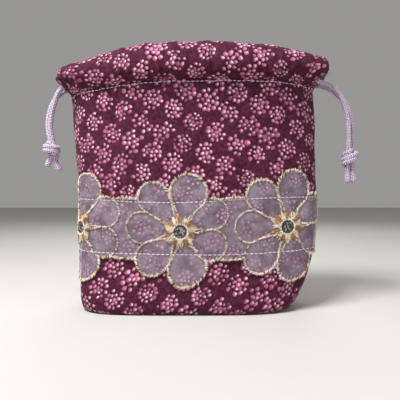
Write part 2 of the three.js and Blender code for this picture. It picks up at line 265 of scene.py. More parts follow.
# A braided cord swept along a line, with a UV map of turns round and metres along.
def sweepCord(name, line, flare=0.0):
    count = len(line)
    tangents = np.gradient(line, axis=0)
    tangents /= np.linalg.norm(tangents, axis=1)[:, None]
    side = np.cross(tangents[0], (0.3, 1.0, 0.2))
    rings = []
    for k in range(count):
        side = side - tangents[k] * side.dot(tangents[k])
        side /= np.linalg.norm(side)
        up = np.cross(tangents[k], side)
        rings.append((side.copy(), up))
    run = np.concatenate([[0], np.cumsum(np.linalg.norm(np.diff(line, axis=0), axis=1))])
    mesh = bmesh.new()
    uvLayer = mesh.loops.layers.uv.new("UVMap")
    angles = np.arange(cord["sides"]) / cord["sides"] * 2 * math.pi
    loops = []
    for k in range(count):
        left = run[-1] - run[k]
        near = min(run[k], left) / cord["radius"]
        radius = cord["radius"] * (1 - cord["endRounding"] * max(0, 1 - near) ** 2)
        radius *= 1 + flare * max(0, 1 - left / cord["flareRun"])
        twist = run[k] / cord["ribPitch"] * 2 * math.pi
        ribs = cord["ribDepth"] * np.cos(cord["ribs"] * angles + twist)
        ribs = ribs + cord["ribDepth"] * np.cos(cord["ribs"] * angles - twist)
        side, up = rings[k]
        ring = []
        for angle, rib in zip(angles, ribs):
            out = side * math.cos(angle) + up * math.sin(angle)
            ring.append(mesh.verts.new(line[k] + out * radius * (1 + rib)))
        loops.append(ring)
    for k in range(count - 1):
        for j in range(cord["sides"]):
            n = (j + 1) % cord["sides"]
            face = mesh.faces.new((loops[k][j], loops[k][n], loops[k + 1][n], loops[k + 1][j]))
            around = (j, j + 1, j + 1, j)
            for loop, a, along in zip(face.loops, around, (k, k, k + 1, k + 1)):
                loop[uvLayer].uv = (a / cord["sides"], run[along])
    for ring, turned in ((loops[0], True), (loops[-1], False)):
        middle = mesh.verts.new(sum((v.co for v in ring), Vector()) / len(ring))
        for j in range(cord["sides"]):
            pair = (ring[j], ring[(j + 1) % cord["sides"]])
            face = mesh.faces.new((pair[1], pair[0], middle) if turned else (*pair, middle))
            for loop in face.loops:
                loop[uvLayer].uv = (0.5, 0.0 if turned else run[-1])
    bmesh.ops.recalc_face_normals(mesh, faces=mesh.faces)
    return objectFrom(name, meshFrom(name, mesh)), run[-1]


# One strand through the overhand knot of a doubled cord: down the core, a turn and a third
# round both strands from the bottom up, then down the core again and out as a tail.
def knotTurns(centre, start, lift, core, tilt):
    x, y, z = centre
    points = [(x + core[0], y + core[1], z + 3.4), (x + core[0] * 0.9, y + core[1], z - 0.6)]
    for k in range(knot["points"] + 1):
        share = k / knot["points"]
        angle = start + share * knot["turns"] * 2 * math.pi
        reach = knot["wide"] * (0.72 + 0.28 * math.sin(math.pi * min(1, share * 1.15)))
        height = knot["foot"] + lift + knot["climb"] * share + tilt * reach * math.cos(angle)
        points.append((x + reach * math.cos(angle), y + reach * math.sin(angle), z + height))
    points.append((x - core[0] * 1.2, y - core[1] * 1.2, z + 2.0 + lift * 0.4))
    points.append((x - core[0] * 1.1, y - core[1] * 1.1, z - 1.6))
    return points


# The two free ends of one drawstring, each from inside the casing to its cut end.
def drawstringPieces(side, route, centre, tails, innerSteps):
    strands = []
    ends = [route[innerSteps::-1], route[-innerSteps - 1:]]
    names = ["front", "back"]
    sign = 1 if side == "left" else -1
    start = math.pi * knot["start"][side]
    for index, (free, tail) in enumerate(zip(ends, tails)):
        core = (0.9 * sign * (1 - 2 * index), 1.0 * (2 * index - 1))
        turns = knotTurns(centre, start, knot["strandGap"] * index, core, knot["tilt"] * -sign)
        line = smoothLine(np.array([*free[:-1], *turns, *tail]) * mm)
        piece, length = sweepCord(f"{side}_cord_{names[index]}", line, flare=cord["endFlare"])
        strands.append((piece, line, length))
    return strands


def cordMaterial():
    paint = Paint("braidedCord")
    place = paint.split(paint.uv())
    around = place["X"] * (cord["ribs"] * 2 * math.pi)
    along = place["Y"] * (2 * math.pi / cord["ribPitch"])
    plaitA = (around + along).sine()
    plaitB = (around - along).sine()
    yarns = (around * 3.0 + along * 3.0).sine() * plaitA + (around * 3.0 - along * 3.0).sine() * plaitB
    weave = plaitA * plaitB
    height = weave + yarns * 0.3
    fuzz = paint.noise(paint.spot(), 2600.0, 3.0, 0.7)
    tone = paint.noise(paint.spot(), 70.0, 2.0)
    lilac = paint.mix(tone, (0.50, 0.37, 0.54), (0.64, 0.51, 0.68))
    # Darker in the braid's valleys: painted shade. The pale speckles on the fuzz and on the raised braid
    # are painted highlight.
    shaded = paint.mix(paint.step(height, -1.2, 0.35), (0.085, 0.045, 0.09), lilac)
    pale = paint.mix(paint.step(fuzz + height * 0.2, 0.5, 0.75), shaded, (0.84, 0.75, 0.88))
    normal = paint.bump(height + fuzz * 0.5, 0.7, 0.0003)
    fixed = {"Roughness": 0.62, "Sheen Weight": 0.35, "Sheen Roughness": 0.45, "Specular IOR Level": 0.35}
    return paint.surface({"Base Color": pale, "Normal": normal}, fixed)


# Frayed fibres where a cord is cut.
def frayTuft(name, ends):
    mesh = bmesh.new()
    for line in ends:
        tip = Vector(line[-1])
        along = Vector(line[-1] - line[-6]).normalized()
        for _ in range(cord["hairs"]):
            away = Vector((random.gauss(0, 1), random.gauss(0, 1), random.gauss(0, 1)))
            away = (away - along * away.dot(along)).normalized()
            foot = tip + away * cord["radius"] * random.uniform(0.1, 0.85) - along * 0.6 * mm
            lean = (along + away * random.uniform(0.05, 0.75)).normalized()
            length = cord["hairLength"] * random.uniform(0.5, 1.0)
            turn = lean.to_track_quat("Z", "Y").to_matrix().to_4x4()
            matrix = Matrix.Translation(foot + lean * length / 2) @ turn
            bmesh.ops.create_cone(
                mesh, cap_ends=True, segments=5, radius1=0.1 * mm, radius2=0.03 * mm,
                depth=length, matrix=matrix,
            )
    return objectFrom(name, meshFrom(name, mesh))


braided = cordMaterial()
for sideName, route, centre, tails in (
    ("left", leftRoute, leftKnot, leftTails),
    ("right", rightRoute, rightKnot, rightTails),
):
    inner = 7  # the route's points on each side that hang free of the casing
    strands = drawstringPieces(sideName, route, centre, tails, inner)
    hidden = smoothLine(np.array(route[inner:-inner]) * mm, 0.8 * mm)
    run, _ = sweepCord(f"{sideName}_cord_in_casing", hidden)
    finishPiece(run, braided)
    fray = frayTuft(f"{sideName}_cord_fray", [line for _, line, _ in strands])
    finishPiece(fray, braided)
    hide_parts(f"{sideName}_drawstring")
    for index, (piece, line, length) in enumerate(strands):
        finishPiece(piece, braided)
        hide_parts(f"{sideName}_drawstring", f"{sideName}_knot")
        extra = [fray] if index == 0 else []
        print("  ", piece.name, round(length, 4))

print("cloth shape")
bag = {"girth": 340.0, "seamHeight": 131.0, "clothThick": 0.55, "sideTuck": 3.0, "sideRise": 3.0,
       "frontTuck": 6.5, "frontRise": 9.5, "casingHeight": 20.8, "casingDepth": 13.0, "endNarrow": 0.36,
       "leftFlare": 6.9, "rightFlare": 8.1, "leftDroop": 3.7, "rightDroop": 5.6, "leftStep": 3.0,
       "endSettle": 5.4, "planPoints": 720, "aroundCount": 680, "columns": 212, "rows": 150}
profile = np.array([
    (0, -64.9, 56.6, 4), (6, -65.4, 60.9, 3.9), (14, -65.9, 64.9, 3.6), (20, -66.2, 67.9, 3.3),
    (27, -66.6, 70.6, 3.1), (35, -67.0, 72.2, 2.95), (44, -67.4, 73.2, 2.8), (64, -68.8, 74.6, 2.5),
    (92, -71.2, 75.2, 2.3), (114, -73.0, 75.4, 2.15), (bag["seamHeight"], -73.5, 74.6, 2.05),
])


def smooth(x):
    c = np.clip(x, 0, 1)
    return c * c * (3 - 2 * c)


def bell(away, width):
    return np.exp(-((away / width) ** 2))


def profileAt(z, column):
    i = min(len(profile) - 2, int(np.searchsorted(profile[1:, 0], z, side="left")))
    low, high = profile[i], profile[i + 1]

    def slope(k):
        before, after = profile[max(0, k - 1)], profile[min(len(profile) - 1, k + 1)]
        return (after[column] - before[column]) / (after[0] - before[0])

    span = high[0] - low[0]
    t = (z - low[0]) / span
    held = low[column] * (1 + 2 * t) * (1 - t) ** 2 + high[column] * t * t * (3 - 2 * t)
    return held + slope(i) * span * t * (1 - t) ** 2 - slope(i + 1) * span * t * t * (1 - t)


def planLoop(halfWide, halfDeep, square):
    a = -math.pi / 2 + np.arange(bag["planPoints"]) / bag["planPoints"] * 2 * math.pi
    x = halfWide * np.sign(np.cos(a)) * np.abs(np.cos(a)) ** (2 / square)
    y = halfDeep * np.sign(np.sin(a)) * np.abs(np.sin(a)) ** (2 / square)
    return x, y, np.hypot(np.roll(x, -1) - x, np.roll(y, -1) - y)


# How far the cloth has gone in under a soft edge at a height.
def tuckUnder(tuck, rise, level):
    return tuck * (1 - math.sqrt(1 - max(0.0, 1 - level / rise) ** 2))


# Plans of the bag at many heights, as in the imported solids, each at every half millimetre round.
footLevels = [0, 0.1, 0.25, 0.5, 0.9, 1.4, 2.1, 3, 4.2, 5.6, 7.4, 9.5]
levels = np.concatenate([footLevels, np.arange(12, 130, 2.5), [bag["seamHeight"]]])
aroundCount = bag["aroundCount"]
planX = np.zeros((len(levels), aroundCount + 1))
planY = np.zeros_like(planX)
centres = np.zeros(len(levels))
for row, level in enumerate(levels):
    left, right, square = (profileAt(level, k) for k in (1, 2, 3))
    halfWide = (right - left) / 2
    low, high = 5.0, 60.0  # halved until the way round at this half depth is the bag's girth
    for _ in range(26):
        halfDeep = (low + high) / 2
        if planLoop(halfWide, halfDeep, square)[2].sum() < bag["girth"]:
            low = halfDeep
        else:
            high = halfDeep
    inSide = tuckUnder(bag["sideTuck"], bag["sideRise"], level)
    inFront = tuckUnder(bag["frontTuck"], bag["frontRise"], level)
    x, y, steps = planLoop(halfWide - inSide, low - inFront, square)
    run = np.concatenate([[0], np.cumsum(steps)])
    want = np.linspace(0, run[-1], aroundCount + 1)
    planX[row] = np.interp(want, run, np.append(x, x[0]))
    planY[row] = np.interp(want, run, np.append(y, y[0]))
    centres[row] = (left + right) / 2
normalX = np.gradient(planY, axis=1)
normalY = -np.gradient(planX, axis=1)
lengths = np.hypot(normalX, normalY)
normalX /= lengths
normalY /= lengths
normalX[:, [0, -1]] = 0
normalY[:, [0, -1]] = -1


# A place on the cloth's outer face: along the cloth from the front middle, at a level, moved out.
def wall(along, level, out=0.0):
    along, level = np.broadcast_arrays(np.asarray(along, float), np.asarray(level, float))
    column = (along / bag["girth"] % 1.0) * aroundCount
    j = np.minimum(column.astype(int), aroundCount - 1)
    row = np.clip(np.searchsorted(levels, level, side="right") - 1, 0, len(levels) - 2)
    across = column - j
    up = (level - levels[row]) / (levels[row + 1] - levels[row])

    def blendTable(table):
        bottom = table[row, j] * (1 - across) + table[row, j + 1] * across
        top = table[row + 1, j] * (1 - across) + table[row + 1, j + 1] * across
        return bottom * (1 - up) + top * up

    x, y, nx, ny = (blendTable(t) for t in (planX, planY, normalX, normalY))
    rise = (level / bag["seamHeight"]) * (2.2 * (x / 72) - 1.6 * (x / 72) ** 2)
    middle = centres[row] * (1 - up) + centres[row + 1] * up
    return np.stack([middle + x + nx * out, y + ny * out, level + rise], axis=-1)


lace = {"offset": 0.75, "thick": 0.14, "weave": 0.42, "flowerHeight": 46.0, "sag": 3.2, "pitch": 60.5,
        "first": 50.7, "join": 84.5, "groundUp": 18.0, "groundDown": 16.0, "lowEdge": 13.0,
        "highEdge": 79.0, "upperStitch": 16.4, "lowerStitch": -13.2, "columns": 400, "rows": 76}


def flowerLevel(along):
    return lace["flowerHeight"] + lace["sag"] * (1 - np.cos(4 * math.pi * along / bag["girth"])) / 2


# Heights of the folds, and how wide or how far down the seam some of them reach.
folds = {"pucker": 0.34, "puckerRun": 6, "gather": 0.42, "gatherRun": 26, "broad": 0.9, "slanting": 0.45,
         "fine": 0.2, "seamPinch": 0.9, "seamWidth": 1.1, "rowPinch": 0.3, "rowWidth": 1.8,
         "corner": 1.5, "upright": 1.5, "slack": 1.1, "sideSeams": (-85.0, 85.0, 255.0)}


# How far the cloth stands out of its plain shape: puckers under the casing seam, soft folds,
# the side seams, the pinch of the lace's two rows of stitches, and three single folds.
def relief(along, level):
    below = bag["seamHeight"] - level
    pucker = np.sin(along / 1.12 + 1.3 * np.sin(along / 7.3)) + 0.6 * np.sin(along / 0.71 + 2.1)
    long = np.sin(along / 2.3 + 0.9 * np.sin(along / 9.1 + level / 30))
    shape = folds["pucker"] * pucker * np.exp(-below / folds["puckerRun"])
    shape = shape + folds["gather"] * long * np.exp(-below / folds["gatherRun"])
    broad = np.sin(along / 10.7 + 0.7 * np.sin(level / 21) + 0.6) * np.sin(level / 33 + 0.5)
    slanting = np.sin(along / 4.9 - level / 14 + 1.1) * np.sin(level / 17 + along / 40)
    fine = np.sin(along / 2.1 + level / 5.2) * np.sin(level / 7.7 - along / 6.3)
    shape = shape + folds["broad"] * broad + folds["slanting"] * slanting + folds["fine"] * fine
    for seam in folds["sideSeams"]:
        shape = shape - folds["seamPinch"] * bell(along - seam, folds["seamWidth"])
    middle = flowerLevel(along)
    for row in ("upperStitch", "lowerStitch"):
        shape = shape - folds["rowPinch"] * bell(level - middle - lace[row], folds["rowWidth"])
    corner = bell(along - 62 + (level - 10) * 0.55, 3.4) * bell(level - 14, 13)
    upright = bell(along + 47, 2.3) * smooth((level - 74) / 14) * smooth((126 - level) / 12)
    slack = bell(along - 30 - (level - 60) * 0.22, 6.5) * bell(level - 96, 26)
    shape = shape - folds["corner"] * corner - folds["upright"] * upright - folds["slack"] * slack
    return shape * smooth(level / 9)


def surf(along, level, out=0.0):
    return wall(along, level, out + relief(along, level))


casingSection = np.array([
    (0.0, 0.0), (0.05, 0.005), (0.2, 0.05), (0.385, 0.2), (0.43, 0.43), (0.34, 0.73), (0.12, 0.945),
    (-0.12, 1.0), (-0.36, 0.925), (-0.53, 0.72), (-0.585, 0.48), (-0.5, 0.24), (-0.32, 0.08), (-0.12, 0.0),
])
casingSpline = smoothLine(np.column_stack([casingSection, np.zeros(len(casingSection))]), 0.01)[:, :2]
casingShares = np.linspace(0, 1, len(casingSpline))


# Where a casing's ends turn out and drop, as shares of its half length, and its swells and creases.
gathers = {"flareFrom": 0.55, "stepFrom": 0.59, "stepRun": 0.17, "puff": 0.07, "finePuff": 0.05,
           "topWave": 0.28, "fineTopWave": 0.22, "seamGather": 0.32, "crease": 0.22}


# A place on a casing: its share of the way up the outer face, over the fold and down inside.
def casing(along, share, side):
    seat = along if side < 0 else bag["girth"] / 2 - along
    foot = surf(seat, bag["seamHeight"])
    out = np.interp(share, casingShares, casingSpline[:, 0])
    up = np.interp(share, casingShares, casingSpline[:, 1])
    end = np.abs(along) / (bag["girth"] / 4)
    flare = smooth((end - gathers["flareFrom"]) / (1 - gathers["flareFrom"]))
    puff = 1 + gathers["puff"] * np.sin(along / 8.3 + side)
    puff = puff + gathers["finePuff"] * np.sin(along / 3.9 + 2 * up + side)
    droop = np.where(along > 0, bag["rightDroop"], bag["leftDroop"]) * end ** 2
    step = (along < 0) * bag["leftStep"] * smooth((end - gathers["stepFrom"]) / gathers["stepRun"])
    height = bag["casingHeight"] - droop - step + gathers["topWave"] * np.sin(along / 6.1 + 1.0 + side)
    height = height + gathers["fineTopWave"] * np.sin(along / 2.7 + side)
    depth = bag["casingDepth"] * (1 - bag["endNarrow"] * flare) * puff
    lean = np.sign(along) * flare * np.where(along < 0, bag["leftFlare"], bag["rightFlare"])
    stand = smooth(up / 0.6)
    gather = np.sin(along / 1.12 + 1.3 * np.sin(along / 7.3)) * np.exp(-np.abs(up) / 0.16) * (share < 0.5)
    crease = gathers["crease"] * np.sin(along / 1.9 + 3 * up + side) * np.sin(3.1 * up)
    ruffle = (gathers["seamGather"] * gather + crease) * smooth(share / 0.04)
    reach = out * depth + flare * bag["endSettle"] * stand + ruffle
    return foot + np.stack([lean * stand, side * reach, up * height], axis=-1)


def cornersOf(made):
    spots = np.empty(len(made.vertices) * 3)
    made.vertices.foreach_get("co", spots)
    return spots.reshape(-1, 3)


# A flat grid, each of its corners then moved to its place on the bag and given a place on the cloth.
def gridPiece(name, columns, rows, place):
    mesh = bmesh.new()
    bmesh.ops.create_grid(mesh, x_segments=columns, y_segments=rows, size=1.0)
    made = meshFrom(name, mesh)
    spots = cornersOf(made) * 0.5 + 0.5
    places, maps = place(spots[:, 0], spots[:, 1])
    made.vertices.foreach_set("co", (places * mm).ravel())
    corners = np.empty(len(made.loops), dtype=np.int32)
    made.loops.foreach_get("vertex_index", corners)
    uvLayer = made.uv_layers.new(name="UVMap")
    uvLayer.data.foreach_set("uv", (maps[corners] * mm).ravel())
    made.update()
    return made


# Maps a flat grid to one panel: its share of the base, then the wall, then the casing.
def panelPlace(side):
    baseShare, wallShare = 0.07, 0.68

    def place(u, v):
        along = (u * 2 - 1) * bag["girth"] / 4
        seat = along if side < 0 else bag["girth"] / 2 - along
        level = np.clip((v - baseShare) / (wallShare - baseShare), 0, 1) * bag["seamHeight"]
        share = np.clip((v - wallShare) / (1 - wallShare), 0, 1)
        spot = surf(seat, level)
        inward = np.clip(1 - v / baseShare, 0, 1)[:, None]
        edge = wall(seat, 0.0)
        middle = edge * (1, 0, 0)
        middle[:, 0] = np.clip(middle[:, 0], -48, 47)
        spot = np.where(v[:, None] < baseShare, edge * (1 - inward) + middle * inward, spot)
        spot = np.where((share > 0)[:, None], casing(along, share, side), spot)
        run = np.where(v < baseShare, -22 * inward[:, 0], level) + share * 58
        return spot, np.column_stack([along + (400 if side > 0 else 0), run])
    return place


def clothPanel(name, side, rightSide, wrongSide, node):
    made = gridPiece(name, bag["columns"], bag["rows"], panelPlace(side))
    probe = max(made.polygons, key=lambda face: face.center.y * side)
    if probe.normal.y * side < 0:
        made.flip_normals()
    piece = objectFrom(name, made)
    made.materials.append(rightSide)
    made.materials.append(wrongSide)
    thick = piece.modifiers.new("thickness", "SOLIDIFY")
    thick.thickness = bag["clothThick"] * mm
    thick.offset = -1
    thick.material_offset = 1
    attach(piece, "root")
    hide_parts(node)
    return piece


# The print: round bunches, each a middle dot with a ring of six and a ring of twelve round it.
cottonPrint = {"bunchPitch": 13.3 * mm, "bunchScatter": 0.15, "bunchTurn": 0.52, "ringPitch": 2.74 * mm,
               "dotRadius": 1.31 * mm, "dotShake": 0.6 * mm, "outline": 0.42 * mm, "weave": 0.36 * mm}


def cottonMaterial(name, faded):
    paint = Paint(name)
    uv = paint.uv()
    flat = {"voronoi_dimensions": "2D", "feature": "F1"}
    rim = {"voronoi_dimensions": "2D", "feature": "DISTANCE_TO_EDGE"}
    lattice = {"Scale": 1 / cottonPrint["bunchPitch"], "Randomness": cottonPrint["bunchScatter"]}
    warp = paint.node("ShaderNodeTexNoise", None, {"Vector": uv, "Scale": 210.0, "Detail": 2.0})["Color"]
    rotation = (0.0, 0.0, cottonPrint["bunchTurn"])
    turned = paint.node("ShaderNodeMapping", None, {"Vector": uv, "Rotation": rotation})[0]
    drawn = paint.vector("MULTIPLY_ADD", warp, (0.0021, 0.0021, 0.0), turned)[0]
    bunch = paint.node("ShaderNodeTexVoronoi", flat, {"Vector": drawn, **lattice})
    chance = paint.node("ShaderNodeSeparateColor", None, {0: bunch["Color"]})
    away = paint.vector("SUBTRACT", drawn, bunch["Position"])[0]
    spot = paint.split(away)
    reach = paint.vector("LENGTH", away)["Value"]
    size = chance["Red"] * 0.26 + 0.76
    ringPitch = size * cottonPrint["ringPitch"]
    ring = (reach / ringPitch).rounded()
    count = ring * 6.0 - (ring * 6.0 > 9.0) * chance["Green"] * 1.6
    count = count.rounded().larger(1.0)
    turn = spot["Y"].angle(spot["X"]) / (2 * math.pi) + chance["Blue"] + ring * 0.13
    step = turn * count
    slot = step.rounded()
    angle = (slot / count - chance["Blue"] - ring * 0.13) * (2 * math.pi)
    dotX = angle.cosine() * ring * ringPitch
    dotY = angle.sine() * ring * ringPitch
    middle = paint.point(dotX, dotY)
    around = slot - (slot / count).floor() * count
    key = paint.point(around, ring, chance["Red"] * 91.0)
    thrown = paint.node("ShaderNodeTexWhiteNoise", {"noise_dimensions": "3D"}, {"Vector": key})
    dice = paint.node("ShaderNodeSeparateColor", None, {0: thrown["Color"]})
    shakenX = dotX + (dice["Red"] - 0.5) * cottonPrint["dotShake"]
    shakenY = dotY + (dice["Green"] - 0.5) * cottonPrint["dotShake"]
    shaken = paint.point(shakenX, shakenY)
    gap = paint.vector("DISTANCE", away, shaken)["Value"]
    place = paint.vector("ADD", bunch["Position"], middle)[0]
    border = paint.node("ShaderNodeTexVoronoi", rim, {"Vector": place, **lattice})
    radius = size * cottonPrint["dotRadius"] * (dice["Blue"] * 0.34 + 0.76)
    kept = (border["Distance"] > 0.085) * (ring < 2.5) * (dice["Red"] + (ring < 1.5) > 0.1)
    dot = (1 - paint.step(gap - radius, -0.14 * mm, 0.12 * mm)) * kept
    outline = (1 - paint.step(gap - radius, 0.15 * mm, cottonPrint["outline"] + 0.45 * mm)) * kept
    inDot = paint.vector("SUBTRACT", away, shaken)[0]
    shine = paint.vector("DISTANCE", inDot, (0.3 * mm, 0.42 * mm, 0.0))["Value"]
    paleness = dice["Green"] * 0.9 + chance["Green"] * 0.25
    glow = (1 - paint.step(shine, 0.2 * mm, 1.05 * mm)) * paleness
    mottle = paint.noise(uv, 420.0, 4.0, 0.65)
    leaves = paint.noise(uv, 120.0, 2.0)
    ground = paint.mix(paint.step(mottle, 0.35, 0.7), (0.040, 0.0045, 0.014), (0.105, 0.020, 0.050))
    ground = paint.mix(paint.step(leaves, 0.45, 0.65) * 0.5, ground, (0.070, 0.007, 0.024))
    ground = paint.mix(outline * 0.8, ground, (0.018, 0.002, 0.007))
    redness = dice["Blue"] * 0.5 + chance["Green"] * 0.5
    pink = paint.mix(redness, (0.145, 0.020, 0.058), (0.43, 0.115, 0.218))
    petal = paint.mix(glow, pink, (0.92, 0.62, 0.74))
    petal = paint.mix(paint.step(mottle, 0.45, 0.75) * 0.4, petal, (0.40, 0.10, 0.19))
    colour = paint.mix(dot, ground, petal)
    if faded:
        colour = paint.mix(0.62, colour, (0.16, 0.07, 0.11))
    threads = paint.split(uv)
    weft = (threads["X"] * (2 * math.pi / cottonPrint["weave"])).sine()
    warpYarn = (threads["Y"] * (2 * math.pi / cottonPrint["weave"])).sine()
    yarn = weft * warpYarn * 0.5
    # This fine tone noise is also bump height below; where it is low the colour darkens: painted shade in
    # the weave's hollows.
    tone = paint.noise(uv, 1500.0, 2.0)
    shaded = paint.mix(0.22, colour, (0.02, 0.004, 0.01))
    colour = paint.mix(paint.step(tone, 0.2, 0.8), shaded, colour)
    crinkle = paint.bump(paint.noise(paint.spot(), 95.0, 4.0, 0.6), 0.4, 0.0011)
    normal = paint.bump(yarn + tone, 0.35, 0.00011, crinkle)
    fixed = {"Roughness": 0.9, "Sheen Weight": 0.04, "Sheen Roughness": 0.5, "Specular IOR Level": 0.14}
    return paint.surface({"Base Color": colour, "Normal": normal}, fixed)


rightSide = cottonMaterial("dottedCotton", False)
wrongSide = cottonMaterial("dottedCottonWrongSide", True)
clothPanel("front_cloth", -1, rightSide, wrongSide, "front_panel")
clothPanel("back_cloth", 1, rightSide, wrongSide, "back_panel")

print("lace")
petals = np.array([
    (-14.6, 18.4, 8.9), (4.9, 21.6, 10.3), (17.8, 9.7, 8.7), (17.3, -7.6, 8.7),
    (5.2, -20.0, 10.5), (-14.6, -15.1, 9.7), (-21.1, 1.6, 8.9),
])
petal = {"tipDistance": 10.5, "tipRadius": 3.7}
laceStart = lace["join"] - bag["girth"] + 0.6
laceEnd = lace["join"] - 0.6
flowers = [lace["first"] + k * lace["pitch"] for k in range(-5, 1)]


# Distance outside one petal, which is a large round end drawn in to a small one near the middle.
def petalDistance(x, y, shape):
    across, up, radius = shape
    reach = math.hypot(across, up)
    toCentre = np.array((-across, -up)) / reach
    length = reach - petal["tipDistance"]
    px, py = x - across, y - up
    down = px * toCentre[0] + py * toCentre[1]
    aside = np.abs(px * toCentre[1] - py * toCentre[0])
    lean = (radius - petal["tipRadius"]) / length
    rest = math.sqrt(1 - lean * lean)
    k = -aside * lean + down * rest
    big = np.hypot(aside, down) - radius
    small = np.hypot(aside, down - length) - petal["tipRadius"]
    edge = aside * rest + down * lean - radius
    return np.where(k < 0, big, np.where(k > rest * length, small, edge))


def flowerDistance(along, level):
    best = np.full(np.shape(along), 99.0)
    for flower in flowers:
        for shape in petals:
            best = np.minimum(best, petalDistance(along - flower, level - flowerLevel(along), shape))
    return best


def groundEdges(along):
    gap = np.abs(((along - lace["first"]) / lace["pitch"]) % 1.0 - 0.5)
    dip = 2.5 * smooth(gap * 2)
    middle = flowerLevel(along)
    return middle + lace["groundUp"] - dip, middle - lace["groundDown"] + dip


def laceDistance(along, level):
    top, bottom = groundEdges(along)
    return np.minimum(flowerDistance(along, level), np.maximum(level - top, bottom - level))


# The organza stands a little off the cotton, puffed in the middle of each petal.
def laceOut(along, level):
    depth = np.clip(-flowerDistance(along, level), 0, 5) / 5
    return lace["offset"] + 0.55 * smooth(depth) + 0.12 * np.sin(along / 2.9 + level / 4.1)


# The organza is cut out flat round its petals, its rim moved to the outline, then laid on the bag.
def laceSheet(material):
    def flatPlace(u, v):
        along = laceStart + u * (laceEnd - laceStart)
        level = lace["lowEdge"] + v * (lace["highEdge"] - lace["lowEdge"])
        return np.column_stack([along, level, u * 0]), np.column_stack([along, level])

    made = gridPiece("lace_organza", lace["columns"], lace["rows"], flatPlace)
    mesh = bmesh.new()
    mesh.from_mesh(made)
    spots = np.array([f.calc_center_median()[:2] for f in mesh.faces]) / mm
    outside = laceDistance(spots[:, 0], spots[:, 1]) > 0
    bmesh.ops.delete(mesh, geom=[f for f, gone in zip(mesh.faces, outside) if gone], context="FACES")
    rims = [v for v in mesh.verts if v.is_boundary and laceStart + 0.2 < v.co.x / mm < laceEnd - 0.2]
    spots = np.array([v.co[:2] for v in rims]) / mm
    for _ in range(2):
        gap = laceDistance(spots[:, 0], spots[:, 1])
        slopeX = (laceDistance(spots[:, 0] + 0.05, spots[:, 1]) - gap) / 0.05
        slopeY = (laceDistance(spots[:, 0], spots[:, 1] + 0.05) - gap) / 0.05
        move = np.clip(gap, -0.7, 0.7)
        spots = spots - np.column_stack([slopeX * move, slopeY * move])
    for v, (x, y) in zip(rims, spots):
        v.co.x, v.co.y = x * mm, y * mm
    mesh.to_mesh(made)
    mesh.free()
    flat = cornersOf(made) / mm
    flatArea = sum(p.area for p in made.polygons)
    shaped = surf(flat[:, 0], flat[:, 1], laceOut(flat[:, 0], flat[:, 1])) * mm
    made.vertices.foreach_set("co", shaped.ravel())
    made.update()
    if made.polygons[len(made.polygons) - 1].normal.dot(Vector((0, -1, 0))) < 0:
        made.flip_normals()
    piece = objectFrom("lace_organza", made)
    thick = piece.modifiers.new("thickness", "SOLIDIFY")
    thick.thickness = lace["thick"] * mm
    thick.offset = 0
    finishPiece(piece, material)
    return piece, flatArea


def organzaMaterial():
    paint = Paint("organza")
    uv = paint.uv()
    place = paint.split(uv)
    threadX = (place["X"] * (2 * math.pi / (lace["weave"] * mm))).sine()
    threadY = (place["Y"] * (2 * math.pi / (lace["weave"] * mm))).sine()
    mesh = threadX * threadY
    cloud = paint.noise(uv, 115.0, 4.0, 0.6)
    colour = paint.mix(cloud, (0.27, 0.21, 0.29), (0.47, 0.39, 0.47))
    alpha = mesh * 0.04 + paint.step(cloud, 0.32, 0.72) * 0.26 + 0.17
    normal = paint.bump(mesh + cloud * 2.0, 0.25, 0.00012)
    fixed = {"Roughness": 0.42, "Sheen Weight": 0.3, "Sheen Roughness": 0.35, "Specular IOR Level": 0.4}
    return paint.surface({"Base Color": colour, "Alpha": alpha, "Normal": normal}, fixed)


organza, laceArea = laceSheet(organzaMaterial())

print("embroidery")
thread = {"outlineStep": 0.62, "outerWidth": 2.3, "innerWidth": 1.45, "thick": 0.6,
          "heartRoom": 8.2}
# Thread tints in creams, golds and browns; the last, near-black tint is painted shade standing for the
# dark gaps between stitches.
creams = np.array([(0.86, 0.75, 0.59), (0.76, 0.61, 0.43), (0.92, 0.87, 0.78), (0.62, 0.45, 0.26),
                   (0.42, 0.28, 0.14), (0.12, 0.07, 0.05)])


def unitBall(u, v):
    mesh = bmesh.new()
    bmesh.ops.create_uvsphere(mesh, u_segments=u, v_segments=v, radius=1.0)
    spots = np.array([vert.co[:] for vert in mesh.verts])
    faces = [[vert.index for vert in face.verts] for face in mesh.faces]
    mesh.free()
    return spots, faces


# Many small rounded stitches as one piece: each has a middle, three half axes and a tint.
def scatter(name, shape, middles, axes, tints):
    spots, faces = shape
    placed = np.einsum("nij,vi->nvj", axes, spots) + middles[:, None, :]
    starts = [k * len(spots) for k in range(len(middles))]
    corners = [[start + corner for corner in face] for start in starts for face in faces]
    made = bpy.data.meshes.new(name)
    made.from_pydata((placed * mm).reshape(-1, 3), [], corners)
    tint = made.attributes.new("tint", "FLOAT_COLOR", "POINT")
    rgba = np.column_stack([np.repeat(tints, len(spots), axis=0), np.ones(len(made.vertices))])
    tint.data.foreach_set("color", rgba.ravel())
    return objectFrom(name, made)


# Stitches lie on the bag at a place and height, along a direction drawn on the flat cloth.
def layStitches(along, level, height, directionX, directionY, length, width, thick, tilt=0.0):
    middle = surf(along, level, height)
    acrossCloth = surf(along + 0.2, level, height) - middle
    upCloth = surf(along, level + 0.2, height) - middle
    acrossCloth /= np.linalg.norm(acrossCloth, axis=1)[:, None]
    upCloth /= np.linalg.norm(upCloth, axis=1)[:, None]
    normal = np.cross(acrossCloth, upCloth)
    run = acrossCloth * directionX[:, None] + upCloth * directionY[:, None] + normal * tilt
    run /= np.linalg.norm(run, axis=1)[:, None]
    aside = np.cross(normal, run)
    aside /= np.linalg.norm(aside, axis=1)[:, None]
    up = np.cross(run, aside)
    size = [np.reshape(np.broadcast_to(v, len(middle)), (-1, 1)) / 2 for v in (length, width, thick)]
    return middle, np.stack([run * size[0], aside * size[1], up * size[2]], axis=1)


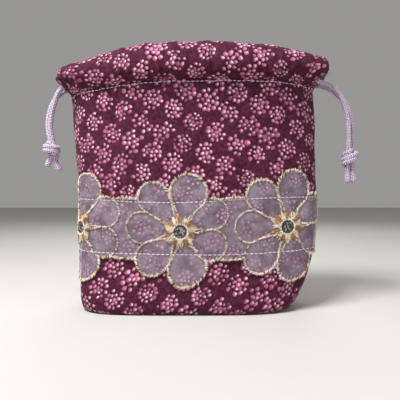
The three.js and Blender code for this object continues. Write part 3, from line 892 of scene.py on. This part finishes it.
# A petal's outline as points and directions, from the tangents of its two round ends.
def petalOutline(shape, step):
    across, up, radius = shape
    reach = math.hypot(across, up)
    heading = math.atan2(-up, -across)
    length = reach - petal["tipDistance"]
    beta = math.acos((radius - petal["tipRadius"]) / length)
    tip = (across + math.cos(heading) * length, up + math.sin(heading) * length)
    points = []
    bigEnd = np.linspace(heading + beta, heading + 2 * math.pi - beta, 40)
    smallEnd = np.linspace(heading - beta, heading + beta, 12)
    for centre, size, angles in (((across, up), radius, bigEnd), (tip, petal["tipRadius"], smallEnd)):
        for a in angles:
            points.append((centre[0] + size * math.cos(a), centre[1] + size * math.sin(a)))
    points.append(points[0])
    points = np.array(points)
    run = np.concatenate([[0], np.cumsum(np.linalg.norm(np.diff(points, axis=0), axis=1))])
    even = np.arange(0, run[-1], step)
    ahead = np.minimum(even + 0.3, run[-1])
    place = np.column_stack([np.interp(even, run, points[:, k]) for k in (0, 1)])
    along = np.column_stack([np.interp(ahead, run, points[:, k]) for k in (0, 1)]) - place
    along /= np.maximum(1e-9, np.linalg.norm(along, axis=1))[:, None]
    return place, along


def joinRows(rows):
    return [np.concatenate(v) for v in zip(*rows)]


def pickTints(count, shares):
    return creams[rng.choice(len(creams), size=count, p=shares)] * rng.uniform(0.85, 1.08, (count, 1))


def outlineStitches():
    parts = []
    for flower in flowers:
        for number, shape in enumerate(petals):
            place, along = petalOutline(shape, thread["outlineStep"])
            gaps = np.array([petalDistance(place[:, 0], place[:, 1], other) for other in petals])
            covered = (gaps[:number] < -0.9).any(axis=0)
            clear = np.hypot(place[:, 0], place[:, 1]) > thread["heartRoom"]
            x = place[:, 0] + flower
            y = place[:, 1] + flowerLevel(x)
            others = np.delete(gaps, number, axis=0).min(axis=0)
            top, bottom = groundEdges(x)
            rim = (others > 0.4) & (np.maximum(y - top, bottom - y) > -0.5)
            keep = clear & ~covered & (x > laceStart + 0.6) & (x < laceEnd - 0.6)
            parts.append(np.column_stack([x, y, along, rim])[keep])
    for edge in (0, 1):
        x = np.arange(laceStart + 1, laceEnd - 1, thread["outlineStep"])
        y = groundEdges(x)[edge]
        ahead = groundEdges(x + 0.3)[edge] - y
        keep = flowerDistance(x, y) > 0.3
        size = np.hypot(0.3, ahead)
        parts.append(np.column_stack([x, y, 0.3 / size, ahead / size, np.ones(len(x))])[keep])
    rows = np.concatenate(parts)
    x, y, dx, dy, rim = rows.T
    count = len(x)
    slant = np.radians(rng.normal(62, 17, count))
    turnX = dx * np.cos(slant) - dy * np.sin(slant)
    turnY = dx * np.sin(slant) + dy * np.cos(slant)
    width = np.where(rim > 0.5, thread["outerWidth"], thread["innerWidth"]) * rng.uniform(0.7, 1.3, count)
    width = width * np.where((rng.random(count) < 0.13) & (rim > 0.5), 1.45, 1.0)
    height = laceOut(x, y) + 0.28 + rng.uniform(-0.1, 0.22, count)
    middles, axes = layStitches(x + rng.normal(0, 0.08, count), y + rng.normal(0, 0.08, count), height,
                                turnX, turnY, width, thread["outlineStep"] * 0.72, thread["thick"])
    # The last share gives some stitches the near-black tint: painted shade between stitches.
    return middles, axes, pickTints(count, (0.27, 0.20, 0.22, 0.10, 0.09, 0.12))


# A flower's heart is three layers of stitches as a ragged star, a pale ring, and dark knots inside.
# A layer is a count, an inner radius and a reach; a ring of knots a count, a radius and a size.
heart = {"aside": 0.2, "tip": 7.3, "starDepth": 1.5, "ragged": 1.3, "ringStitches": 46, "ringRadius": 4.25,
         "layers": ((150, 4.9, 0.9), (120, 4.6, -0.9), (80, 4.4, -2.4)),
         "knots": ((3, 0.5, 0.5), (8, 1.5, 0.52), (14, 2.75, 0.5), (10, 2.2, 0.46))}
ochre = np.array([(0.37, 0.19, 0.06), (0.29, 0.12, 0.045), (0.43, 0.27, 0.10)])
darks = np.array([(0.04, 0.045, 0.04), (0.33, 0.36, 0.30), (0.02, 0.02, 0.03), (0.10, 0.12, 0.08)])


def heartPlace(flower, reach, angle):
    x = flower + heart["aside"] + reach * np.cos(angle)
    y = flowerLevel(x) + reach * np.sin(angle)
    return x, y, (x > laceStart + 1) & (x < laceEnd - 1)


def flowerHearts():
    stitches, beads = [], []
    for flower in flowers:
        turn = random.uniform(0, 0.4)
        for layer, (count, foot, reach) in enumerate(heart["layers"]):
            a = np.arange(count) / count * 2 * math.pi + rng.normal(0, 0.02, count)
            points = 0.5 + 0.5 * np.cos(7 * a + turn)
            tip = heart["tip"] + heart["starDepth"] * points + reach
            tip = tip + rng.uniform(-heart["ragged"], heart["ragged"], count)
            length = tip - foot
            x, y, keep = heartPlace(flower, foot + length / 2, a)
            lift = laceOut(x, y) + 0.35 + 0.25 * layer
            lean = a + rng.normal(0, 0.22, count)
            m, ax = layStitches(x, y, lift, np.cos(lean), np.sin(lean), length * 1.1, 0.42, 0.5, 0.1)
            patch = np.cos(3.5 * (a - math.pi / 2)) ** 2 + rng.normal(0, 0.22, count)
            # The last share gives some corolla stitches the near-black tint: painted shade between
            # stitches.
            tint = np.where((patch > 0.52)[:, None], ochre[rng.integers(0, 3, count)],
                            pickTints(count, (0.32, 0.2, 0.24, 0.09, 0.07, 0.08)))
            stitches.append((m[keep], ax[keep], tint[keep]))
        count = heart["ringStitches"]
        a = np.arange(count) / count * 2 * math.pi + rng.normal(0, 0.03, count)
        x, y, keep = heartPlace(flower, heart["ringRadius"], a)
        slope = a + rng.normal(0.5, 0.35, count)
        m, ax = layStitches(x, y, laceOut(x, y) + 0.75, np.cos(slope), np.sin(slope), 1.7, 0.5, 0.7)
        tint = pickTints(count, (0.45, 0.1, 0.4, 0.0, 0.05, 0.0))
        stitches.append((m[keep], ax[keep], tint[keep]))
        for count, ringRadius, size in heart["knots"]:
            a = np.arange(count) / count * 2 * math.pi + count * 0.3 + rng.normal(0, 0.12, count)
            x, y, keep = heartPlace(flower, ringRadius, a)
            lie = a + rng.uniform(-1.6, 1.6, count)
            lift = laceOut(x, y) + 0.75 + rng.uniform(-0.15, 0.35, count)
            m, ax = layStitches(x, y, lift, np.cos(lie), np.sin(lie),
                                size * 3.0, size * 1.4, size * 1.5, 0.15)
            tint = darks[rng.integers(0, len(darks), count)]
            beads.append((m[keep], ax[keep], tint[keep]))
    return joinRows(stitches), joinRows(beads)


sewing = {"pitch": 2.6, "share": 0.86, "width": 0.46, "thick": 0.38, "tint": (0.76, 0.67, 0.78)}


def machineStitches(x, y, height, directionY):
    count = len(x)
    length = sewing["pitch"] * sewing["share"]
    middles, axes = layStitches(x, y, height, np.ones(count), directionY, length,
                                sewing["width"], sewing["thick"])
    tint = np.array(sewing["tint"]) * rng.uniform(0.85, 1.1, (count, 1))
    return middles, axes, tint


def threadMaterial(name, roughness, metallic, sheen):
    paint = Paint(name)
    tint = paint.node("ShaderNodeAttribute", {"attribute_name": "tint"})["Color"]
    fibre = paint.noise(paint.spot(), 3200.0, 2.0, 0.6)
    # Darker brown where the fibre noise, which is also the bump, is low: painted shade between the fibres.
    colour = paint.mix(paint.step(fibre, 0.25, 0.6), paint.mix(0.3, tint, (0.16, 0.08, 0.05)), tint)
    normal = paint.bump(fibre, 0.4, 0.00012)
    fixed = {"Roughness": roughness, "Metallic": metallic, "Sheen Weight": sheen, "Sheen Roughness": 0.4}
    return paint.surface({"Base Color": colour, "Normal": normal}, fixed)


goldThread = threadMaterial("goldThread", 0.4, 0.0, 0.15)
darkThread = threadMaterial("darkThread", 0.3, 0.45, 0.0)
sewingThread = threadMaterial("sewingThread", 0.5, 0.0, 0.3)

stitchShape = unitBall(5, 4)
hearts, knots = flowerHearts()
outlines = scatter("petal_outlines", stitchShape, *outlineStitches())
finishPiece(outlines, goldThread)
corollas = scatter("flower_hearts", stitchShape, *hearts)
finishPiece(corollas, goldThread)
centreKnots = scatter("flower_knots", unitBall(10, 7), *knots)
finishPiece(centreKnots, darkThread)

laceX = np.arange(laceStart + 2, laceEnd - 2, sewing["pitch"])
rows = []
for row in ("upperStitch", "lowerStitch"):
    level = flowerLevel(laceX) + lace[row] + 0.5 * np.sin(laceX / 17 + (0 if row == "upperStitch" else 2))
    slope = np.gradient(level, laceX)
    rows.append(machineStitches(laceX, level, laceOut(laceX, level) + 0.12, slope))
quarter = bag["girth"] / 4
seamX = np.arange(1.4 - quarter, 3 * quarter - 1.2, sewing["pitch"])
seamX = seamX[np.abs(seamX - quarter) > 1.5]
level = np.full(len(seamX), bag["seamHeight"] - 1.5)
rows.append(machineStitches(seamX, level, np.full(len(seamX), 0.3), np.zeros(len(seamX))))
machineRows = scatter("machine_stitches", unitBall(8, 6), *joinRows(rows))
finishPiece(machineRows, sewingThread)
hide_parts("lace_band")
print("  lace area", round(laceArea, 5))

print("stage")
floorMesh = bmesh.new()
bmesh.ops.create_grid(floorMesh, x_segments=1, y_segments=1, size=3.0)
floorData = meshFrom("floor", floorMesh)
floor = objectFrom("floor", floorData)
floorPaint = Paint("paleFloor")
speckle = floorPaint.noise(floorPaint.spot(), 8.0, 2.0)
floorColour = floorPaint.mix(speckle, (0.50, 0.485, 0.465), (0.54, 0.525, 0.50))
floorData.materials.append(floorPaint.surface({"Base Color": floorColour}, {"Roughness": 0.7}))

world = bpy.data.worlds.new("studio")
bpy.context.scene.world = world
world.use_nodes = True
world.node_tree.nodes["Background"].inputs["Color"].default_value = (0.86, 0.85, 0.83, 1)
world.node_tree.nodes["Background"].inputs["Strength"].default_value = 0.36


def softLight(name, place, aim, size, power):
    data = bpy.data.lights.new(name, "AREA")
    data.size = size
    data.energy = power
    lamp = bpy.data.objects.new(name, data)
    lamp.location = place
    lamp.rotation_euler = (Vector(aim) - Vector(place)).to_track_quat("-Z", "Y").to_euler()
    bpy.context.collection.objects.link(lamp)


softLight("key", (-0.26, -0.30, 0.66), (0, 0, 0.07), 0.28, 9.0)
softLight("fill", (0.55, -0.55, 0.35), (0, 0, 0.08), 0.6, 1.2)
softLight("rim", (0.1, 0.6, 0.6), (0, 0, 0.1), 0.5, 2.0)
